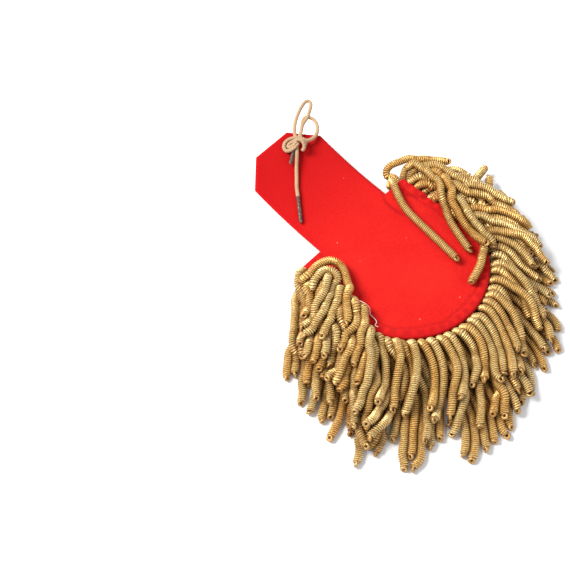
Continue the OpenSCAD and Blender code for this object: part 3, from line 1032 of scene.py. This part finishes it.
# How the bullions settle: rounds, fall in a round, and how firmly each holds to its planned line
settle_rounds = 90
rounds_between_searches = 5
pushes_a_round = 2
fall = 0.12 * MM
loose_hold = 0.3
flat_hold = 0.1
root_flat_hold = 0.25
root_flat_reach = 12 * MM
root_high_hold = 0.6
root_high_reach = 9 * MM
straighten = 0.3
push = 0.8
search_reach = 1.35
felt_clearance = 0.3 * MM
# Distance looked at round a point, the points above it there that make it sunk, and their least rise in radii
# How sunk a point is sets the painted shade that darkens it under other bullions
sunk_reach = 6 * MM
sunk_full = 13
sunk_rise = 0.4
wire_brown = (1.0, 0.6, 0.17, 1)
wire_pale = (1.0, 0.8, 0.36, 1)
wire_tarnish = (0.64, 0.3, 0.055, 1)
wire_end = (0.3, 0.13, 0.03, 1)
# Painted shade specks and painted highlight specks of the glinting ridges
wire_painted_dark_speck = (0.36, 0.14, 0.02, 1)
wire_painted_glint = (1.0, 0.83, 0.4, 1)
# Painted shade on the sides of the bullions that look away from the light
wire_painted_side_shade = (0.42, 0.19, 0.035, 1)
wire_painted_sunk_shade = (0.3, 0.125, 0.022, 1)
# Painted shade in the grooves between the turns of wire
wire_groove_shade = (0.075, 0.02, 0.001, 1)
# Painted shade inside the tube, on the disc in each eyelet
wire_hole_shade = (0.01, 0.005, 0.002, 1)
flow_of = dict(zip(flow_columns, zip(*fringe_flow)))


def flow(place, column):
    """The value of one of the flow's columns at a place on the rim."""
    return float(np.interp(place, flow_of["place"], flow_of[column]))


def bullion_line(row, index, chance):
    """A bullion's centre line as it is laid: out from the rim, up over its crest and round to its tip."""
    row_name, count, share, root_z, crest_z, tip_z, crest_at = row
    place = (index + 0.5 + chance.uniform(-place_spread, place_spread)) / count
    along = rim_at(min(1, place + 0.002), 0) - rim_at(max(0, place - 0.002), 0)
    out = math.degrees(math.atan2(along.y, along.x)) + 90
    out = min(out_limits[1], max(out_limits[0], out - 360 * round((out + 90) / 360)))
    strewn = min(1, 0.2 + 5 * (1 - place))
    outer_lying = flow(place, "outer lying")
    outer_tip = flow(place, "outer tip")
    upper_lying = flow(place, "lying")
    lying = outer_lying + share * (upper_lying - outer_lying) + chance.gauss(0, lying_spread) * strewn
    start = lying + share * (flow(place, "start") - upper_lying) + chance.gauss(0, start_spread) * strewn
    tip = outer_tip + share * (flow(place, "tip") - outer_tip) + chance.gauss(0, tip_spread) * strewn
    length = flow(place, row_name) + chance.uniform(-length_spread, length_spread)
    steps = round(length * MM / link_l)
    high = crest_z + chance.uniform(-crest_spread, crest_spread)
    ways = [0, 2.5, crest_at + chance.uniform(-crest_spread, crest_spread), length]
    heights = [root_z, root_z + 1, high, tip_z]
    near, far = chance.uniform(*first_bend), chance.uniform(*second_bend)
    turns = [0, 2, near, far, lying_from * length, length]
    headings = [out, out, start, start, lying, tip]
    at = rim_at(place, heading_inset)
    line = []
    for k in range(steps + 1):
        way = length * k / steps
        at.z = float(np.interp(way, ways, heights)) * MM
        line.append(at.copy())
        heading = math.radians(float(np.interp(way, turns, headings)))
        at += Vector((math.cos(heading), math.sin(heading), 0)) * (length * MM / steps)
    return line


def drawn_together(p, joins, rest, loose):
    """Moves the two ends of each join towards its length at rest."""
    d = p[joins + 1] - p[joins]
    far = np.linalg.norm(d, axis=1)
    total = np.maximum(loose[joins] + loose[joins + 1], 1e-9)
    pull = d * ((far - rest) / far / total)[:, None]
    p[joins] += pull * loose[joins, None]
    p[joins + 1] -= pull * loose[joins + 1, None]


def pushed_apart(p, a, b, loose):
    """Moves the points of each pair a and b away from each other where two bullions would cross."""
    thick = 2 * bullion_r
    gap = p[b] - p[a]
    far = np.linalg.norm(gap, axis=1) + 1e-9
    weight = np.maximum(loose[a] + loose[b], 1e-9)
    move = gap * (push * np.clip(thick - far, 0, None) / far / weight)[:, None]
    np.add.at(p, b, move * loose[b, None])
    np.add.at(p, a, -move * loose[a, None])


def close_pairs(p, which, step):
    """The pairs of points of different bullions that are near each other and not both at their roots."""
    tree = KDTree(len(p))
    for k, point in enumerate(p):
        tree.insert(point, k)
    tree.balance()
    reach = search_reach * (2 * bullion_r)
    near = [(k, j) for k, point in enumerate(p) for _, j, _ in tree.find_range(point, reach)]
    pairs = [(k, j) for k, j in near if j > k and which[j] != which[k] and max(step[j], step[k]) > 2]
    return np.array(pairs).T


def settled(lines, stiff):
    """Lets the bullions come roughly to rest: they fall, bend and push each other aside.

    It ends while some still run into others, and while their lengths are up to a sixth off. stiff holds
    the numbers of the loose ones, which keep close to their planned lines.
    """
    sizes = [len(line) for line in lines]
    p = np.array([tuple(point) for line in lines for point in line])
    which = np.repeat(np.arange(len(lines)), sizes)
    step = np.concatenate([np.arange(n) for n in sizes])
    last = step == np.repeat(sizes, sizes) - 1
    loose = np.where(step < 2, 0.0, 1.0)
    wanted = p.copy()
    set_in = np.isin(which, stiff)
    free_flat = flat_hold + root_flat_hold * np.exp(-step * link_l / root_flat_reach)
    free_high = root_high_hold * np.exp(-step * link_l / root_high_reach)
    keep_flat = np.where(set_in, loose_hold, free_flat)[:, None]
    keep_high = np.where(set_in, loose_hold, free_high)
    joins = np.flatnonzero(~last)
    rest = np.linalg.norm(p[joins + 1] - p[joins], axis=1)
    halves = [(joins[step[joins] % 2 == k], rest[step[joins] % 2 == k]) for k in (0, 1)]
    inner = np.flatnonzero((step > 0) & ~last)
    outline = felt_outline(facing_grid)
    felt_top = felt_under + felt_t + hem_h + felt_clearance
    for turn in range(settle_rounds):
        if turn % rounds_between_searches == 0:
            a, b = close_pairs(p, which, step)
            within = inside(p[:, :2], outline)
        p[:, 2] -= fall * loose
        p[:, :2] += keep_flat * (wanted[:, :2] - p[:, :2]) * loose[:, None]
        p[:, 2] += keep_high * (wanted[:, 2] - p[:, 2]) * loose
        middle = (p[inner - 1] + p[inner + 1]) / 2
        p[inner] += straighten * (middle - p[inner]) * loose[inner, None]
        for _ in range(pushes_a_round):
            pushed_apart(p, a, b, loose)
            for half, half_rest in halves:
                drawn_together(p, half, half_rest, loose)
        on_felt = within & (p[:, 2] > felt_under)
        ground = np.where(on_felt, felt_top, 0) + bullion_r
        p[:, 2] = np.where(loose > 0, np.maximum(p[:, 2], ground), p[:, 2])
    out, first = [], 0
    for n in sizes:
        out.append([Vector(point) for point in p[first:first + n]])
        first += n
    return out


def joined(net, a, b):
    """Both geometries as one."""
    parts = net.node("GeometryNodeJoinGeometry", {}, {"Geometry": a})
    net.tree.links.new(b.socket, parts.socket.node.inputs[0])
    return parts


def coiled_tube(net, curve, given):
    """The coil along a curve whose points are rings of wire, which knows how far each face looks up, for the
    painted shade on its sides.
    """
    curve, scale = wire_rings(net, curve, given["Pitch"], given["Depth"])
    at = net.node("ShaderNodeSeparateXYZ", {}, {0: net.node("GeometryNodeInputPosition")})
    slant = net.node("ShaderNodeCombineXYZ", {}, {"Z": at * given["Slant"]})
    ring = circle(net, bullion_sides, 1.0)
    ring = net.node("GeometryNodeSetPosition", {}, {"Geometry": ring, "Offset": slant})
    tube = stored(net, swept(net, curve, ring, scale), "hollow", 0.0)
    normal = net.node("ShaderNodeSeparateXYZ", {}, {0: net.node("GeometryNodeInputNormal")})
    return curve, stored(net, tube, "upward", normal.of("Z"))


def eyelet_at_tips(net, curve, given):
    """A bent loop of wire at the end of each bullion, turned at random, with a near black disc painted in its
    hole as the shade inside the tube.
    """
    bend = circle(net, eyelet_sides, given["Eyelet"])
    wire = circle(net, eyelet_wire_sides, given["Wire"])
    sockets = {"Curve": bend, "Profile Curve": wire, "Scale": 1.0}
    eyelet = stored(net, net.node("GeometryNodeCurveToMesh", {}, sockets), "hollow", 0.0)
    sockets = {"Vertices": eyelet_sides, "Radius": given["Eyelet"]}
    painted_hole_shade = stored(net, net.node("GeometryNodeMeshCircle", {"fill_type": "NGON"}, sockets), "hollow", 1.0)
    tangent = net.node("GeometryNodeInputTangent")
    beyond = scaled(net, tangent, given["Eyelet"] * 0.45)
    ends = net.node("GeometryNodeSetPosition", {}, {"Geometry": curve, "Offset": beyond})
    sockets = {0: eyelet_tilt[0], 1: eyelet_tilt[1], "Seed": eyelet_seed}
    tilt = net.node("FunctionNodeRandomValue", {"data_type": "FLOAT_VECTOR"}, sockets)
    axis = net.node("ShaderNodeVectorMath", {"operation": "ADD"}, {0: scaled(net, tangent, 0.6), 1: tilt})
    turned = net.node("FunctionNodeAlignRotationToVector", {"axis": "Z"}, {"Vector": axis})
    tips = net.node("GeometryNodeCurveEndpointSelection", {}, {"Start Size": 0, "End Size": 1})
    eyelets = net.node("GeometryNodeInstanceOnPoints", {}, {
        "Points": ends, "Selection": tips, "Instance": joined(net, eyelet, painted_hole_shade), "Rotation": turned,
    })
    # The eyelets take a fixed share of the painted groove shade.
    eyelets = stored(net, eyelets, "groove", 0.3, "INSTANCE")
    # The eyelets take a fixed share of the painted side shade.
    return stored(net, eyelets, "upward", 0.4, "INSTANCE")


def bullion_growth():
    """Coiled bullions along each edge run, with an eyelet at each tip."""
    net, given = growth("bullions", "Pitch", "Depth", "Slant", "Eyelet", "Wire")
    curve = net.node("GeometryNodeMeshToCurve", {}, {"Mesh": given["Source"]})
    curve = net.node("GeometryNodeCurveSplineType", {"spline_type": "CATMULL_ROM"}, {"Curve": curve})
    curve = net.node("GeometryNodeSetSplineResolution", {}, {"Geometry": curve, "Resolution": 8})
    curve, tube = coiled_tube(net, curve, given)
    return grown(net, joined(net, tube, eyelet_at_tips(net, curve, given)), given, ridged=True)


def bullion_finish(net):
    place = net.place()
    tarnish = net.noise(place, scale=190, detail=4.0, roughness=0.65)
    glint = net.noise(place, scale=1100, roughness=0.6)
    # Painted shade: faces that look sideways or down are darkened, as the sides of each bullion away from the
    # light.
    painted_side_shade = net.clipped(net.attribute("upward"), -0.1, 0.8, 0.68, 0.0)
    gold = net.mix(net.attribute("tone"), wire_brown, wire_pale)
    gold = net.mix(net.clipped(tarnish, 0.42, 0.7) * 0.45, gold, wire_tarnish)
    gold = net.mix(net.clipped(net.attribute("along"), 0.9, 1.0) * 0.6, gold, wire_end)
    # The fine noise paints specks of shade and specks of highlight on the ridges, as glints.
    gold = net.mix(net.clipped(glint, 0.36, 0.52, 0.48, 0.0), gold, wire_painted_dark_speck)
    gold = net.mix(net.clipped(glint, 0.54, 0.66, 0.0, 0.7), gold, wire_painted_glint)
    gold = net.mix(painted_side_shade, gold, wire_painted_side_shade)
    # Painted shade where a bullion lies under others.
    gold = net.mix(net.attribute("sunk") * 0.65, gold, wire_painted_sunk_shade)
    # Painted shade in the grooves between the turns of wire.
    gold = net.mix((net.attribute("groove") ** 1.4) * 0.96, gold, wire_groove_shade)
    # The disc in each eyelet is painted near black as the shade inside the tube.
    gold = net.mix(net.attribute("hollow"), gold, wire_hole_shade)
    grain = net.bump(glint, 0.8, 0.5 * MM)
    return {"Base Color": gold, "Metallic": 0.55, "Roughness": 0.28 + tarnish * 0.2, "Normal": grain}


def sunk_share(lines):
    """How deep each point lies under other bullions, from 0 on top to 1, for the painted shade there."""
    owners = [k for k, line in enumerate(lines) for _ in line]
    points = [point for line in lines for point in line]
    tree = KDTree(len(points))
    for k, point in enumerate(points):
        tree.insert((point.x, point.y, 0), k)
    tree.balance()
    shares = [[] for _ in lines]
    for owner, point in zip(owners, points):
        near = [k for _, k, _ in tree.find_range((point.x, point.y, 0), sunk_reach)]
        above = sum(owners[k] != owner and points[k].z > point.z + sunk_rise * bullion_r for k in near)
        shares[owner].append(min(1.0, above / sunk_full))
    return shares


def tipped(line):
    """A line with three more points before its tip, for the knob, and a pushed-back tip set straight."""
    before, a, b = line[-3:]
    if (b - a).dot(a - before) < 0:
        b = 2 * a - before
    return [*line[:-1], a.lerp(b, 0.4), a.lerp(b, 0.65), a.lerp(b, 0.85), b]


def girth_of(line):
    """The radius at each point: narrow where the bullion is sewn in, full beyond, and a knob at the tip."""
    body = [neck_r + (bullion_r - neck_r) * min(1.0, k / neck_steps) for k in range(len(line) - 4)]
    return [*body, bullion_r, bullion_r, 0.8 * bullion_r, 0.7 * bullion_r]


bullion_gold = finish_of("bullion_gilt_wire", bullion_finish)
bullions = bullion_growth()
chance = random.Random(fringe_seed)
planned, row_of = [], []
for row in fringe_rows:
    for index in range(row[1]):
        planned.append(bullion_line(row, index, chance))
        row_of.append(row[0])
for route in loose_routes:
    lifted = [(x, y, z + loose_lift * (z > lifted_over)) for x, y, z in route]
    planned.append(smoothed([from_notch(p) for p in lifted], link_l))
    row_of.append("loose")
stiff = [k for k, row_name in enumerate(row_of) if row_name == "loose"]
laid = [tipped(line) for line in settled(planned, stiff)]
tones = [chance.random() for _ in laid]
sunk = sunk_share(laid)
for row_name in ("outer", "middle", "inner", "loose"):
    picked = [k for k, name in enumerate(row_of) if name == row_name]
    lines = [laid[k] for k in picked]
    source = chains("bullions_" + row_name, lines, girth=[girth_of(line) for line in lines],
                    tone=[[tones[k]] * len(laid[k]) for k in picked], sunk=[sunk[k] for k in picked],
                    along=[[j / (len(line) - 1) for j in range(len(line))] for line in lines])
    made = grow("bullions_" + row_name, source, bullions, Pitch=coil_pitch, Depth=coil_depth,
                Slant=coil_slant, Eyelet=eyelet_r, Wire=eyelet_wire_r, Material=bullion_gold)
    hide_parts("bullion_fringe")

# The heading. A woven band of gilt thread over a cord core, to which the bullions are
# sewn before it is sewn to the board's edge, between the felt and the crescent.
heading_t = 1.6 * MM
heading_low = 0.8 * MM
heading_high = 9.3 * MM
heading_steps = 300
heading_pitch = 1.3 * MM
heading_relief = 0.06
heading_line = rim_line(heading_steps, heading_inset, (heading_low + heading_high) / 2)
heading_source = chains("heading_band", [heading_line], girth=[[1.0] * len(heading_line)])
heading_values = {"Half Width": heading_t / 2, "Half Height": (heading_high - heading_low) / 2,
                  "Pitch": heading_pitch, "Relief": heading_relief, "Slant": 0.0, "Material": roll_gold}
heading = grow("heading_band", heading_source, winding, **heading_values)
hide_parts("bullion_fringe")

# The loose thread. A pale sewing thread has worked out of the hem and lies in a curl
# over the felt's edge, where the photograph shows it.
thread_r = 0.25 * MM
thread_step = 0.6 * MM
thread_twist = 1.2 * MM
thread_relief = 0.02 * MM
thread_rose = (0.8, 0.6, 0.5, 1)
thread_cream = (0.95, 0.86, 0.78, 1)
thread_route = [
    (-44.8, -43.9, 22.5), (-42.6, -47.3, 20.5), (-41.4, -50.5, 17), (-43.5, -53.2, 15.2), (-43.8, -57.2, 15),
    (-44.9, -59.8, 15), (-47, -60.2, 15.1), (-46.6, -62.4, 15),
]


def thread_finish(net):
    fibres = net.noise(net.place(), scale=3000)
    return {"Base Color": net.mix(fibres, thread_rose, thread_cream), "Roughness": 0.9}


thread_line = smoothed([from_notch(p) for p in thread_route], thread_step)
thread = grow("loose_thread", chains("loose_thread", [thread_line]), braid, Radius=thread_r, Step=thread_step,
              Relief=thread_relief, Pitch=thread_twist, Material=finish_of("thread_pale", thread_finish))
